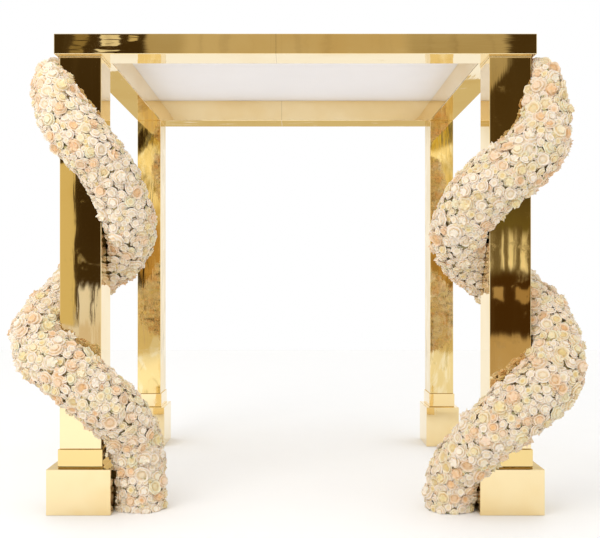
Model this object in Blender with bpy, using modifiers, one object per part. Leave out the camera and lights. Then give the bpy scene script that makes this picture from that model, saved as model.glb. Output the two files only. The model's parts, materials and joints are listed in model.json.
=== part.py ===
"""Chuppah canopy: an open square frame of four posts and four beams, clad in gold mirror, with a white cloth
stretched over its top and a thick rope garland of flowers wound round each front post.

Metres, +Z up. The front faces -Y, and +X is on the right of someone who looks at the front. The origin is on
the floor, in the middle of the whole piece.
"""

import math

import bmesh
import bpy
from mathutils import Vector

OBJECT_NAME = "chuppah_canopy"
SIDES = (("left", -1), ("right", 1))
GAP = 0.0003

# Heights above the floor
BEAM_UNDERSIDE = 2.482
FRONT_BASE_HEIGHT = 0.247
BACK_BASE_HEIGHT = 0.296
FOOT_HEIGHT = 0.100
CAP_THICKNESS = 0.011

# Posts, given by the face that looks at the middle of the frame
FRONT_FACE_Y = -1.050
FRONT_POST_INNER_X = 1.052
FRONT_POST_WIDTH = 0.226
FRONT_POST_DEPTH = 0.245
BACK_FACE_Y = FRONT_FACE_Y + 2.043
BACK_POST_INNER_X = 1.030
BACK_POST_WIDTH = 0.176
BACK_POST_DEPTH = 0.280
FOOT_REVEAL = 0.008
CAP_REVEAL = 0.003

# Bases, one block under each post
FRONT_BASE_WIDTH = 0.347
FRONT_BASE_DEPTH = 0.347
BACK_BASE_WIDTH = 0.246
BACK_BASE_DEPTH = 0.375

# Beams
FRONT_BEAM_LENGTH = 2.605
FRONT_BEAM_HEIGHT = 0.1105
FRONT_BEAM_DEPTH = 0.2205
FRONT_BEAM_OVERHANG = 0.027
DEEP_BEAM_HEIGHT = 0.152
BATTEN_DEPTH = 0.050

# Cloth roof, laid on the tops of the beams
CLOTH_THICKNESS = 0.006
CLOTH_SAG = 0.020
CLOTH_INSET = 0.012
CLOTH_CELLS_X = 16
CLOTH_CELLS_Y = 14

# Small roundings of the edges
BLOCK_EDGE = 0.003
CAP_EDGE = 0.0015

# Garlands. Each station is the turn round the post in degrees (0 in front, 90 on the inner side), the height,
# the rope's distance from the middle of the post, and the rope's own radius.
GARLAND_STATIONS = {
    "left": (
        (-100, 2.560, 0.190, 0.015),
        (-93, 2.474, 0.195, 0.030),
        (-80, 2.415, 0.185, 0.070),
        (-52, 2.310, 0.184, 0.118),
        (-24, 2.165, 0.205, 0.144),
        (10, 2.000, 0.220, 0.153),
        (46, 1.838, 0.222, 0.151),
        (86, 1.590, 0.235, 0.156),
        (135, 1.430, 0.222, 0.160),
        (180, 1.330, 0.220, 0.160),
        (225, 1.132, 0.220, 0.157),
        (278, 0.970, 0.248, 0.155),
        (320, 0.850, 0.240, 0.155),
        (364, 0.728, 0.230, 0.162),
        (412, 0.560, 0.242, 0.156),
        (438, 0.440, 0.264, 0.154),
        (449, 0.300, 0.290, 0.152),
        (450, 0.150, 0.304, 0.147),
        (450, 0.000, 0.308, 0.139),
        (450, -0.120, 0.308, 0.139),
    ),
    "right": (
        (-80, 2.560, 0.150, 0.015),
        (-76, 2.474, 0.165, 0.030),
        (-68, 2.415, 0.195, 0.062),
        (-62, 2.340, 0.222, 0.098),
        (-58, 2.230, 0.222, 0.122),
        (-52, 2.130, 0.232, 0.140),
        (-38, 2.010, 0.236, 0.160),
        (-16, 1.910, 0.228, 0.164),
        (6, 1.840, 0.222, 0.166),
        (42, 1.748, 0.226, 0.168),
        (86, 1.560, 0.240, 0.170),
        (128, 1.415, 0.234, 0.170),
        (168, 1.310, 0.222, 0.170),
        (208, 1.165, 0.222, 0.168),
        (250, 1.040, 0.236, 0.166),
        (280, 0.868, 0.260, 0.166),
        (302, 0.760, 0.262, 0.170),
        (338, 0.640, 0.242, 0.170),
        (366, 0.550, 0.232, 0.164),
        (398, 0.430, 0.236, 0.156),
        (424, 0.310, 0.252, 0.151),
        (440, 0.215, 0.280, 0.152),
        (448, 0.110, 0.300, 0.150),
        (448, 0.000, 0.306, 0.146),
        (448, -0.120, 0.306, 0.146),
    ),
}
GARLAND_CUTS = (0, 90, 180, 270, 360)
GARLAND_STRETCHES = ("top", "upper_inner", "upper_back", "middle_outer", "lower_front", "foot")
POINT_SPACING = 0.075
ROPE_BEVEL_RESOLUTION = 5
SPARE_STATIONS = 0.35
LENGTH_STEPS = 60
HALVINGS = 40
TANGENT_STEP = 0.01

# How far the space kept for a base, foot block or post runs on into its neighbours
SEAT_OVERRUN = 0.1


def clear_scene():
    for old in list(bpy.data.objects):
        bpy.data.objects.remove(old, do_unlink=True)


def new_collection(name):
    made = bpy.data.collections.new(name)
    bpy.context.scene.collection.children.link(made)
    return made


def new_material(name, color, roughness, metallic):
    """A plain Principled material, one for each sub-part."""
    material = bpy.data.materials.new(name)
    material.use_nodes = True
    shader = material.node_tree.nodes["Principled BSDF"]
    shader.inputs["Base Color"].default_value = (*color, 1.0)
    shader.inputs["Roughness"].default_value = roughness
    shader.inputs["Metallic"].default_value = metallic
    material.diffuse_color = (*color, 1.0)
    return material


def gold_mirror(node):
    return new_material(node + "_gold", (0.83, 0.66, 0.36), 0.06, 1.0)


def white_cloth(node):
    return new_material(node + "_cloth", (0.90, 0.88, 0.89), 0.85, 0.0)


def blossom(node):
    return new_material(node + "_blossom", (0.90, 0.80, 0.72), 0.80, 0.0)


def put_in(collection, thing):
    for old in list(thing.users_collection):
        old.objects.unlink(thing)
    collection.objects.link(thing)
    return thing


def add_block(name, low, high, edge, collection, material):
    """A rectangular block between two corners, with its edges rounded."""
    low, high = Vector(low), Vector(high)
    bpy.ops.mesh.primitive_cube_add(size=1.0, location=(low + high) / 2)
    block = bpy.context.object
    block.name = name
    block.scale = high - low
    bpy.ops.object.transform_apply(location=False, rotation=False, scale=True)
    if edge:
        rounding = block.modifiers.new("edge", "BEVEL")
        rounding.width = edge
        rounding.segments = 2
    if material:
        block.data.materials.append(material(name))
    return put_in(collection, block)


def across(side, near, far):
    """The x of the low and the high side of a piece that lies between two distances from the middle."""
    return (near, far) if side > 0 else (-far, -near)


def hand_of(side):
    return "left" if side < 0 else "right"


def add_post_stack(place, side, post_size, face_y, base_size, top, parts):
    """A base, the foot block on it and the post on that, for one corner of the frame."""
    hand = hand_of(side)
    inner_x, width, depth = post_size
    base_width, base_depth, base_height = base_size
    middle_x = inner_x + width / 2
    middle_y = face_y + depth / 2
    base_x = across(side, middle_x - base_width / 2, middle_x + base_width / 2)
    base_y = (middle_y - base_depth / 2, middle_y + base_depth / 2)
    foot_x = across(side, inner_x - FOOT_REVEAL, inner_x + width + FOOT_REVEAL)
    foot_y = (face_y - FOOT_REVEAL, face_y + depth + FOOT_REVEAL)
    post_x = across(side, inner_x, inner_x + width)
    post_y = (face_y, face_y + depth)
    foot_top = base_height + FOOT_HEIGHT
    sizes = (
        ("base", base_x, base_y, 0.0, base_height),
        ("foot_block", foot_x, foot_y, base_height + GAP, foot_top),
        ("post", post_x, post_y, foot_top + GAP, top),
    )
    for piece, x, y, bottom, block_top in sizes:
        low, high = (x[0], y[0], bottom), (x[1], y[1], block_top)
        add_block(f"{piece}_{place}_{hand}", low, high, BLOCK_EDGE, parts, gold_mirror)


def add_front_corner(side, parts):
    """A front post with its thin cap plate, which the front beam and a side beam rest on."""
    post_size = (FRONT_POST_INNER_X, FRONT_POST_WIDTH, FRONT_POST_DEPTH)
    base_size = (FRONT_BASE_WIDTH, FRONT_BASE_DEPTH, FRONT_BASE_HEIGHT)
    cap_under = BEAM_UNDERSIDE - CAP_THICKNESS
    add_post_stack("front", side, post_size, FRONT_FACE_Y, base_size, cap_under, parts)
    x = across(side, FRONT_POST_INNER_X - CAP_REVEAL, FRONT_POST_INNER_X + FRONT_POST_WIDTH + CAP_REVEAL)
    y = (FRONT_FACE_Y - CAP_REVEAL, FRONT_FACE_Y + FRONT_POST_DEPTH + CAP_REVEAL)
    low = (x[0], y[0], cap_under + GAP)
    high = (x[1], y[1], BEAM_UNDERSIDE)
    add_block(f"cap_plate_{hand_of(side)}", low, high, CAP_EDGE, parts, gold_mirror)


def add_back_corner(side, parts):
    """A back post, which carries the end of the back beam."""
    post_size = (BACK_POST_INNER_X, BACK_POST_WIDTH, BACK_POST_DEPTH)
    base_size = (BACK_BASE_WIDTH, BACK_BASE_DEPTH, BACK_BASE_HEIGHT)
    add_post_stack("back", side, post_size, BACK_FACE_Y, base_size, BEAM_UNDERSIDE, parts)


def add_beams(parts):
    """The low front beam with the batten on it, and the deeper side and back beams."""
    under = BEAM_UNDERSIDE + GAP
    roof = BEAM_UNDERSIDE + DEEP_BEAM_HEIGHT
    front_y = FRONT_FACE_Y - FRONT_BEAM_OVERHANG
    front_back_y = front_y + FRONT_BEAM_DEPTH
    front_top = BEAM_UNDERSIDE + FRONT_BEAM_HEIGHT
    half = FRONT_BEAM_LENGTH / 2
    outer = BACK_POST_INNER_X + BACK_POST_WIDTH
    blocks = [
        ("front_beam", (-half, front_y, under), (half, front_back_y, front_top)),
        (
            "front_batten",
            (-outer, front_back_y - BATTEN_DEPTH, front_top + GAP),
            (outer, front_back_y, roof),
        ),
        ("back_beam", (-outer, BACK_FACE_Y, under), (outer, BACK_FACE_Y + BACK_POST_DEPTH, roof)),
    ]
    for hand, side in SIDES:
        x = across(side, BACK_POST_INNER_X, outer)
        low = (x[0], front_back_y + GAP, under)
        high = (x[1], BACK_FACE_Y - GAP, roof)
        blocks.append((f"side_beam_{hand}", low, high))
    for name, low, high in blocks:
        add_block(name, low, high, BLOCK_EDGE, parts, gold_mirror)


def add_cloth(parts):
    """The roof cloth: flat where it lies on the beams, and hanging a little in the middle."""
    front_y = FRONT_FACE_Y - FRONT_BEAM_OVERHANG + FRONT_BEAM_DEPTH
    outer = BACK_POST_INNER_X + BACK_POST_WIDTH - CLOTH_INSET
    low_y = front_y - BATTEN_DEPTH + CLOTH_INSET
    high_y = BACK_FACE_Y + BACK_POST_DEPTH - CLOTH_INSET
    bpy.ops.mesh.primitive_grid_add(
        x_subdivisions=CLOTH_CELLS_X,
        y_subdivisions=CLOTH_CELLS_Y,
        size=1.0,
        location=(0.0, (low_y + high_y) / 2, BEAM_UNDERSIDE + DEEP_BEAM_HEIGHT + GAP),
    )
    cloth = bpy.context.object
    cloth.name = "canopy_cloth"
    cloth.scale = (2 * outer, high_y - low_y, 1.0)
    bpy.ops.object.transform_apply(location=False, rotation=False, scale=True)
    open_middle_y = (front_y + BACK_FACE_Y) / 2
    open_half_y = (BACK_FACE_Y - front_y) / 2
    for point in cloth.data.vertices:
        u = point.co.x / BACK_POST_INNER_X
        v = (point.co.y + cloth.location.y - open_middle_y) / open_half_y
        point.co.z -= CLOTH_SAG * max(0.0, 1 - u * u) ** 2 * max(0.0, 1 - v * v) ** 2
    shell = cloth.modifiers.new("thickness", "SOLIDIFY")
    shell.thickness = CLOTH_THICKNESS
    shell.offset = 1.0
    cloth.data.materials.append(white_cloth("canopy_cloth"))
    cloth.data.shade_smooth()
    cloth.data.set_sharp_from_angle(angle=math.radians(40))
    put_in(parts, cloth)


def smooth_value(values, t):
    """A value on the smooth curve through a list, at t list places from its start."""
    i = min(max(int(math.floor(t)), 0), len(values) - 2)
    f = t - i
    here, there = values[i], values[i + 1]
    before = values[i - 1] if i > 0 else 2 * here - there
    after = values[i + 2] if i + 2 < len(values) else 2 * there - here
    out, back = (there - before) / 2, (after - here) / 2
    square, cube = f * f, f * f * f
    return (
        here * (2 * cube - 3 * square + 1)
        + out * (cube - 2 * square + f)
        + there * (3 * square - 2 * cube)
        + back * (cube - square)
    )


def rope_point(stations, side, t):
    """The middle of the rope and its radius, at t stations from the top."""
    turn, height, distance, radius = (smooth_value([s[k] for s in stations], t) for k in range(4))
    angle = math.radians(turn)
    post_x = side * (FRONT_POST_INNER_X + FRONT_POST_WIDTH / 2)
    post_y = FRONT_FACE_Y + FRONT_POST_DEPTH / 2
    x = post_x - side * distance * math.sin(angle)
    y = post_y - distance * math.cos(angle)
    return Vector((x, y, height)), radius


def station_at_turn(stations, turn):
    """How far along the list of stations the rope has made this turn."""
    for i, (first, second) in enumerate(zip(stations, stations[1:])):
        if first[0] <= turn < second[0]:
            low, high = float(i), float(i + 1)
            for _ in range(HALVINGS):
                middle = (low + high) / 2
                reached = smooth_value([s[0] for s in stations], middle)
                low, high = (middle, high) if reached < turn else (low, middle)
            return (low + high) / 2
    raise ValueError("the garland never makes this turn")


def rope_tube(name, stations, side, first, last):
    """The rope between two places of the list, as a closed mesh."""
    along = [first + (last - first) * i / LENGTH_STEPS for i in range(LENGTH_STEPS + 1)]
    middles = [rope_point(stations, side, t)[0] for t in along]
    length = sum((b - a).length for a, b in zip(middles, middles[1:]))
    count = max(4, round(length / POINT_SPACING))
    curve = bpy.data.curves.new(name, "CURVE")
    curve.dimensions = "3D"
    curve.bevel_depth = 1.0
    curve.bevel_resolution = ROPE_BEVEL_RESOLUTION
    curve.use_fill_caps = True
    spline = curve.splines.new("POLY")
    spline.points.add(count)
    for i, point in enumerate(spline.points):
        middle, radius = rope_point(stations, side, first + (last - first) * i / count)
        point.co = (*middle, 1.0)
        point.radius = radius
    drawn = bpy.data.objects.new(name + "_line", curve)
    bpy.context.scene.collection.objects.link(drawn)
    bpy.context.view_layer.update()
    mesh = bpy.data.meshes.new_from_object(drawn.evaluated_get(bpy.context.evaluated_depsgraph_get()))
    bpy.data.objects.remove(drawn, do_unlink=True)
    return mesh


def trim(mesh, point, outward):
    """Cuts off what lies beyond a plane and closes the cut."""
    work = bmesh.new()
    work.from_mesh(mesh)
    bmesh.ops.remove_doubles(work, verts=work.verts, dist=0.0001)
    cut = bmesh.ops.bisect_plane(
        work,
        geom=work.verts[:] + work.edges[:] + work.faces[:],
        plane_co=point,
        plane_no=outward,
        clear_outer=True,
    )
    rim = [e for e in cut["geom_cut"] if isinstance(e, bmesh.types.BMEdge)]
    bmesh.ops.edgeloop_fill(work, edges=rim)
    bmesh.ops.recalc_face_normals(work, faces=work.faces)
    work.to_mesh(mesh)
    work.free()


def add_garland(hand, side, stacks, parts):
    """One garland in stretches that meet end to end, hollowed where they pass the post, foot and base."""
    stations = GARLAND_STATIONS[hand]
    inside = len(stations) - 1
    places = [0.0] + [station_at_turn(stations, turn) for turn in GARLAND_CUTS] + [float(inside)]
    up = Vector((0.0, 0.0, 1.0))
    for i, stretch in enumerate(GARLAND_STRETCHES):
        name = f"garland_{hand}_{stretch}"
        start, end = places[i], places[i + 1]
        first, last = max(0.0, start - SPARE_STATIONS), min(inside, end + SPARE_STATIONS)
        mesh = rope_tube(name, stations, side, first, last)
        for place, direction in ((start, -1), (end, 1)):
            if place == 0.0:
                trim(mesh, up * (BEAM_UNDERSIDE - GAP), up)
            elif place == inside:
                trim(mesh, Vector(), -up)
            else:
                ahead = rope_point(stations, side, place + TANGENT_STEP)[0]
                behind = rope_point(stations, side, place - TANGENT_STEP)[0]
                outward = (ahead - behind).normalized() * direction
                trim(mesh, rope_point(stations, side, place)[0] - outward * GAP / 2, outward)
        rope = bpy.data.objects.new(name, mesh)
        parts.objects.link(rope)
        for cutter in stacks[hand]:
            seat = rope.modifiers.new("seat", "BOOLEAN")
            seat.operation = "DIFFERENCE"
            seat.solver = "EXACT"
            seat.object = cutter
        mesh.materials.append(blossom(name))
        mesh.shade_smooth()
        mesh.set_sharp_from_angle(angle=math.radians(50))


def add_seat_cutters(cutters):
    """The space of each front base, foot block and post, with a small clearance all round."""
    found = {}
    for hand, side in SIDES:
        found[hand] = []
        middle_x = FRONT_POST_INNER_X + FRONT_POST_WIDTH / 2
        middle_y = FRONT_FACE_Y + FRONT_POST_DEPTH / 2
        foot_bottom = FRONT_BASE_HEIGHT - SEAT_OVERRUN
        foot_top = FRONT_BASE_HEIGHT + FOOT_HEIGHT
        foot_width = FRONT_POST_WIDTH + 2 * FOOT_REVEAL
        foot_depth = FRONT_POST_DEPTH + 2 * FOOT_REVEAL
        post_bottom = foot_top - SEAT_OVERRUN
        post_top = BEAM_UNDERSIDE + SEAT_OVERRUN
        sizes = (
            ("base", FRONT_BASE_WIDTH, FRONT_BASE_DEPTH, -SEAT_OVERRUN, FRONT_BASE_HEIGHT + GAP),
            ("foot_block", foot_width, foot_depth, foot_bottom, foot_top + GAP),
            ("post", FRONT_POST_WIDTH, FRONT_POST_DEPTH, post_bottom, post_top),
        )
        for piece, width, depth, bottom, top in sizes:
            x = across(side, middle_x - width / 2 - GAP, middle_x + width / 2 + GAP)
            low = (x[0], middle_y - depth / 2 - GAP, bottom)
            high = (x[1], middle_y + depth / 2 + GAP, top)
            cutter = add_block(f"seat_{piece}_{hand}", low, high, 0.0, cutters, None)
            cutter.hide_render = True
            cutter.display_type = "WIRE"
            found[hand].append(cutter)
    return found


def main():
    clear_scene()
    parts = new_collection(OBJECT_NAME)
    cutters = new_collection("cutters")
    for _, side in SIDES:
        add_front_corner(side, parts)
        add_back_corner(side, parts)
    add_beams(parts)
    add_cloth(parts)
    stacks = add_seat_cutters(cutters)
    for hand, side in SIDES:
        add_garland(hand, side, stacks, parts)


main()
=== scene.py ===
"""The looks of a chuppah canopy: gold mirror posts and beams, a stretched cloth roof, and two garlands of
packed roses, small blossoms and leaves wound round the front posts.

Metres, +Z up. The front faces -Y, and +X is on the right of someone who looks at the front. The origin is
on the floor, in the middle of the whole piece.
"""

import json
import math
import random
from collections import namedtuple

import bmesh
import bpy
import numpy as np
from bpy.props import FloatProperty, FloatVectorProperty, IntProperty, PointerProperty
from mathutils import Matrix, Vector

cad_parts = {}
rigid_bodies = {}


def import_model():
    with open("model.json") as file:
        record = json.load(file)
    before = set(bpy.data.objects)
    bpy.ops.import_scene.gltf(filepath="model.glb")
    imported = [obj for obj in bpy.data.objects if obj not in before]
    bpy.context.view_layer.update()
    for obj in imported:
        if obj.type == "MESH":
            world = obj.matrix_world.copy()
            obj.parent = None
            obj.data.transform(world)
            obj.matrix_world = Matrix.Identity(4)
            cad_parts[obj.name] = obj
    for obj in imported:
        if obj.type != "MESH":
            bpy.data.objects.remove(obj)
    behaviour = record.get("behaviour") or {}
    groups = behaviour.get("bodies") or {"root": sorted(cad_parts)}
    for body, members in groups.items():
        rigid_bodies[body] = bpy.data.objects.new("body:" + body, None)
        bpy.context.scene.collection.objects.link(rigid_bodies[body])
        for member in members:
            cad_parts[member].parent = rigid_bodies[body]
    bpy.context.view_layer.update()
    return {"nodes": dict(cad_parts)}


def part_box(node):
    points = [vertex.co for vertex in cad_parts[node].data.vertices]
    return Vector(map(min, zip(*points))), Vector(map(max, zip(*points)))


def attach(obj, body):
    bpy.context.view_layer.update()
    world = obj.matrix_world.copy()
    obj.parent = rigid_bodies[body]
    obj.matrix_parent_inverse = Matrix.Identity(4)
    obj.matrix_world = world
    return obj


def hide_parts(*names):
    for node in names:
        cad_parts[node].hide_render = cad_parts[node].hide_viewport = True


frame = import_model()

bl_info = {
    "name": "Chuppah Canopy Finishes",
    "version": (1, 0, 0),
    "blender": (4, 5, 0),
    "location": "View3D > Sidebar > Chuppah",
    "description": "Finishes the frame of a chuppah canopy and dresses it with cloth and flowers",
    "category": "Object",
}

BODY = "root"
HANDS = (("left", -1), ("right", 1))
# Soft pieces keep this far off the frame's faces and the floor
CLEARANCE = 0.0008

# The frame's own sizes, read from its pieces
POST_LOW, POST_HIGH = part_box("post_front_right")
POST_MIDDLE = (POST_LOW + POST_HIGH) / 2
BEAM_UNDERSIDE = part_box("front_beam")[0].z
BATTEN_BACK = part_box("front_batten")[1].y
BACK_BEAM_LOW, BACK_BEAM_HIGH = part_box("back_beam")
SIDE_BEAM_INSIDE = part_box("side_beam_right")[0].x
CLOTH_LOW, CLOTH_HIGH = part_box("canopy_cloth")

# Each garland's route. A station is the turn round the post in degrees (0 in front, 90 on the inner side),
# the height, the distance from the middle of the post to the middle of the rope, and the rope's radius.
GARLAND_STATIONS = {
    "left": (
        (-100, 2.560, 0.190, 0.015), (-93, 2.474, 0.195, 0.030), (-80, 2.415, 0.185, 0.070),
        (-52, 2.310, 0.184, 0.118), (-24, 2.165, 0.205, 0.144), (10, 2.000, 0.220, 0.153),
        (46, 1.838, 0.222, 0.151), (86, 1.590, 0.235, 0.156), (135, 1.430, 0.222, 0.160),
        (180, 1.330, 0.220, 0.160), (225, 1.132, 0.220, 0.157), (278, 0.970, 0.248, 0.155),
        (320, 0.850, 0.240, 0.155), (364, 0.728, 0.230, 0.162), (412, 0.560, 0.242, 0.156),
        (438, 0.440, 0.264, 0.154), (449, 0.300, 0.290, 0.152), (450, 0.150, 0.304, 0.147),
        (450, 0.000, 0.308, 0.139), (450, -0.120, 0.308, 0.139),
    ),
    "right": (
        (-80, 2.560, 0.150, 0.015), (-76, 2.474, 0.165, 0.030), (-68, 2.415, 0.195, 0.062),
        (-62, 2.340, 0.222, 0.098), (-58, 2.230, 0.222, 0.122), (-52, 2.130, 0.232, 0.140),
        (-38, 2.010, 0.236, 0.160), (-16, 1.910, 0.228, 0.164), (6, 1.840, 0.222, 0.166),
        (42, 1.748, 0.226, 0.168), (86, 1.560, 0.240, 0.170), (128, 1.415, 0.234, 0.170),
        (168, 1.310, 0.222, 0.170), (208, 1.165, 0.222, 0.168), (250, 1.040, 0.236, 0.166),
        (280, 0.868, 0.260, 0.166), (302, 0.760, 0.262, 0.170), (338, 0.640, 0.242, 0.170),
        (366, 0.550, 0.232, 0.164), (398, 0.430, 0.236, 0.156), (424, 0.310, 0.252, 0.151),
        (440, 0.215, 0.280, 0.152), (448, 0.110, 0.300, 0.150), (448, 0.000, 0.306, 0.146),
        (448, -0.120, 0.306, 0.146),
    ),
}
# The turns at which a garland is cut into its stretches, and how often the span is halved to find each cut
GARLAND_CUTS = (0, 90, 180, 270, 360)
GARLAND_STRETCHES = ("top", "upper_inner", "upper_back", "middle_outer", "lower_front", "foot")
HALVINGS = 30


def colour(name, description, default):
    return FloatVectorProperty(name=name, description=description, subtype="COLOR", default=default)


def length(name, description, default):
    return FloatProperty(name=name, description=description, unit="LENGTH", default=default)


def number(name, description, default, **limits):
    return FloatProperty(name=name, description=description, default=default, **limits)


class GoldFinish(bpy.types.PropertyGroup):
    """The gold mirror sheet that clads the frame."""

    tint: colour("Gold", "Colour of the mirror sheet", (0.95, 0.78, 0.46))
    deep_tint: colour("Deep gold", "Warmer gold in cloudy patches", (0.91, 0.71, 0.37))
    # A darker, warmer copy of the gold, painted as the dimmer reflections of the back posts and front foot
    # blocks
    painted_dim_gold: colour("Back gold", "Gold of the back posts and front foot blocks", (0.87, 0.66, 0.29))
    roughness: number("Roughness", "Blur of the clean mirror", 0.020, min=0.0)
    smudge: number("Smudges", "Added blur where it was handled", 0.10, min=0.0)
    ripple: length("Ripple", "Height of the slow waves in the sheet", 0.0040)
    pull: length("Pull", "Height of the fine pulls along the sheet", 0.00028)
    ripple_length: length("Ripple length", "Distance between slow waves", 0.45)
    seam_width: length("Seam width", "Width of the joint between two sheets", 0.0016)


class ClothFinish(bpy.types.PropertyGroup):
    """The white stretch cloth of the roof."""

    tint: colour("Cloth", "Colour of the cloth", (0.92, 0.90, 0.915))
    sag: length("Sag", "How far its middle hangs", 0.020)
    thickness: length("Thickness", "Thickness of the cloth", 0.0016)
    pucker: length("Pucker", "Height of the pulls along its edges", 0.0016)
    thread: length("Thread", "Distance between the weave's ribs", 0.0125664)


class GarlandSizes(bpy.types.PropertyGroup):
    """How the garlands are packed."""

    largest_rose: length("Largest rose", "Radius of the largest roses", 0.050)
    smallest_rose: length("Smallest rose", "Radius of the smallest roses", 0.031)
    closeness: number("Closeness", "Least distance of two flowers, as a share of their radii", 0.72)
    blossom: length("Blossom", "Radius of a small blossom", 0.029)
    leaf: length("Leaf", "Length of a leaf", 0.040)
    core_depth: length("Core depth", "How far the core lies under the flowers", 0.026)
    seed: IntProperty(name="Seed", description="Changes how the flowers fall", default=7)


class FlowerColours(bpy.types.PropertyGroup):
    """The colours of petals and leaves."""

    white: colour("White", "White petals", (0.85, 0.765, 0.68))
    cream: colour("Cream", "Cream petals", (0.84, 0.745, 0.57))
    blush: colour("Blush", "Pale pink petals", (0.83, 0.685, 0.55))
    peach: colour("Peach", "Peach petals", (0.82, 0.625, 0.45))
    green_white: colour("Green white", "Petals with a green cast", (0.79, 0.75, 0.57))
    yellow_heart: colour("Yellow heart", "Heart of a cream flower", (0.77, 0.61, 0.27))
    peach_heart: colour("Peach heart", "Heart of a blush flower", (0.78, 0.46, 0.20))
    leaf: colour("Leaf", "Leaves between the flowers", (0.21, 0.185, 0.075))
    # The core's florets are a darker yellow-olive than the petals: partly their own colour, partly painted
    # shade of the gaps between flowers
    core: colour("Core", "Small florets deep between the flowers", (0.54, 0.42, 0.19))


class StageSettings(bpy.types.PropertyGroup):
    """The camera, floor and light."""

    camera_distance: length("Camera distance", "From the posts' front faces", 4.986)
    camera_height: length("Camera height", "Above the floor", 1.264)
    lens: number("Lens", "Focal length in millimetres", 55.2)
    shift_x: number("Shift X", "Sideways shift of the picture", 0.0077)
    shift_y: number("Shift Y", "Upward shift of the picture", 0.0183)
    floor_reach: length("Floor reach", "From the middle to the floor's side edges", 24.0)
    floor_front: length("Floor front", "From the middle to the front edge", 8.1)
    floor_back: length("Floor back", "From the middle to the back edge", 10.6)
    dome: number("Dome", "Brightness of the soft light all round", 1.09)
    key: number("Key", "Power of the large soft light in watts", 120.0)


def operator(name, reflected=False):
    """A method of Value that adds a Math node."""

    def method(value, other):
        pair = (other, value) if reflected else (value, other)
        return value.graph.math(name, *pair)

    return method


class Value:
    """One output of a node. Arithmetic on it adds Math nodes."""

    def __init__(self, graph, socket):
        self.graph = graph
        self.socket = socket

    __add__ = operator("ADD")
    __radd__ = operator("ADD", reflected=True)
    __sub__ = operator("SUBTRACT")
    __rsub__ = operator("SUBTRACT", reflected=True)
    __mul__ = operator("MULTIPLY")
    __rmul__ = operator("MULTIPLY", reflected=True)
    __truediv__ = operator("DIVIDE")

    def __abs__(self):
        return self.graph.math("ABSOLUTE", self)

    def __getitem__(self, axis):
        return self.graph.node("SeparateXYZ", {}, {0: self}, axis)


class Graph:
    """The nodes of one material or world."""

    def __init__(self, owner):
        owner.use_nodes = True
        self.tree = owner.node_tree
        self.tree.nodes.clear()

    def node(self, kind, settings=None, inputs=None, output=0):
        """Adds a shader node, makes its settings, then sets or links its inputs."""
        made = self.tree.nodes.new("ShaderNode" + kind)
        for name, value in (settings or {}).items():
            if name == "stops":
                self.set_stops(made.color_ramp, value)
            else:
                setattr(made, name, value)
        for name, value in (inputs or {}).items():
            if isinstance(value, Value):
                self.tree.links.new(value.socket, made.inputs[name])
            else:
                made.inputs[name].default_value = value
        return Value(self, made.outputs[output] if len(made.outputs) else None)

    def set_stops(self, ramp, stops):
        while len(ramp.elements) > 1:
            ramp.elements.remove(ramp.elements[-1])
        for i, (place, color) in enumerate(stops):
            stop = ramp.elements[0] if i == 0 else ramp.elements.new(place)
            stop.position = place
            stop.color = (*color, 1.0)

    def math(self, operation, first, second=0.0):
        return self.node("Math", {"operation": operation}, {0: first, 1: second})

    def clamped(self, value):
        return self.node("Math", {"operation": "ADD", "use_clamp": True}, {0: value, 1: 0.0})

    def mix(self, factor, first, second, blend="MIX"):
        """A mix of two colours."""
        settings = {"data_type": "RGBA", "blend_type": blend}
        first, second = (v if isinstance(v, Value) else (*v, 1.0) for v in (first, second))
        return self.node("Mix", settings, {0: factor, 6: first, 7: second}, 2)

    def object_place(self, scale=(1.0, 1.0, 1.0), shift=(0.0, 0.0, 0.0)):
        place = self.node("TexCoord", {}, {}, 3)
        return self.node("Mapping", {}, {"Vector": place, "Scale": scale, "Location": shift})

    def noise(self, place, scale, detail=2.0, roughness=0.5, distortion=0.0):
        inputs = {"Vector": place, "Scale": scale, "Detail": detail}
        inputs.update(Roughness=roughness, Distortion=distortion)
        return self.node("TexNoise", {}, inputs)

    def stripes(self, place, scale, detail):
        """Noise that varies along one number."""
        inputs = {"W": place, "Scale": scale, "Detail": detail}
        return self.node("TexNoise", {"noise_dimensions": "1D"}, inputs)

    def scaled(self, place, scale):
        return self.node("Mapping", {}, {"Vector": place, "Scale": scale})

    def range(self, value, low, high, to_low=0.0, to_high=1.0):
        """The value's low to high span, smoothed onto another span."""
        inputs = {0: value, 1: low, 2: high, 3: to_low, 4: to_high}
        return self.node("MapRange", {"interpolation_type": "SMOOTHSTEP"}, inputs)

    def band(self, value, middle, half, soft):
        """1 within half of the middle, fading to 0 over soft."""
        return self.range(abs(value - middle), half + soft, half)

    def ramp(self, value, stops, interpolation="LINEAR"):
        made = self.node("ValToRGB", {"stops": stops}, {0: value})
        made.socket.node.color_ramp.interpolation = interpolation
        return made

    def bump(self, height):
        return self.node("Bump", {}, {"Height": height, "Strength": 1.0, "Distance": 1.0})

    def attribute(self, name):
        return self.node("Attribute", {"attribute_name": name}, {}, 2)

    def surface(self, **inputs):
        """Joins a Principled shader to the material's output."""
        named = {name.replace("_", " "): value for name, value in inputs.items()}
        shader = self.node("BsdfPrincipled", {}, named)
        self.node("OutputMaterial", {}, {"Surface": shader})


def deselect_all():
    if bpy.context.mode != "OBJECT":
        bpy.ops.object.mode_set(mode="OBJECT")
    bpy.ops.object.select_all(action="DESELECT")


def new_material(name):
    """A material and its graph."""
    material = bpy.data.materials.new(name)
    return material, Graph(material)


def scaled_color(color, share):
    return tuple(c * share for c in color)


def dress_node(node, material):
    """Gives a piece of the frame its finish."""
    mesh = frame["nodes"][node].data
    mesh.materials.clear()
    mesh.materials.append(material)


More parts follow.
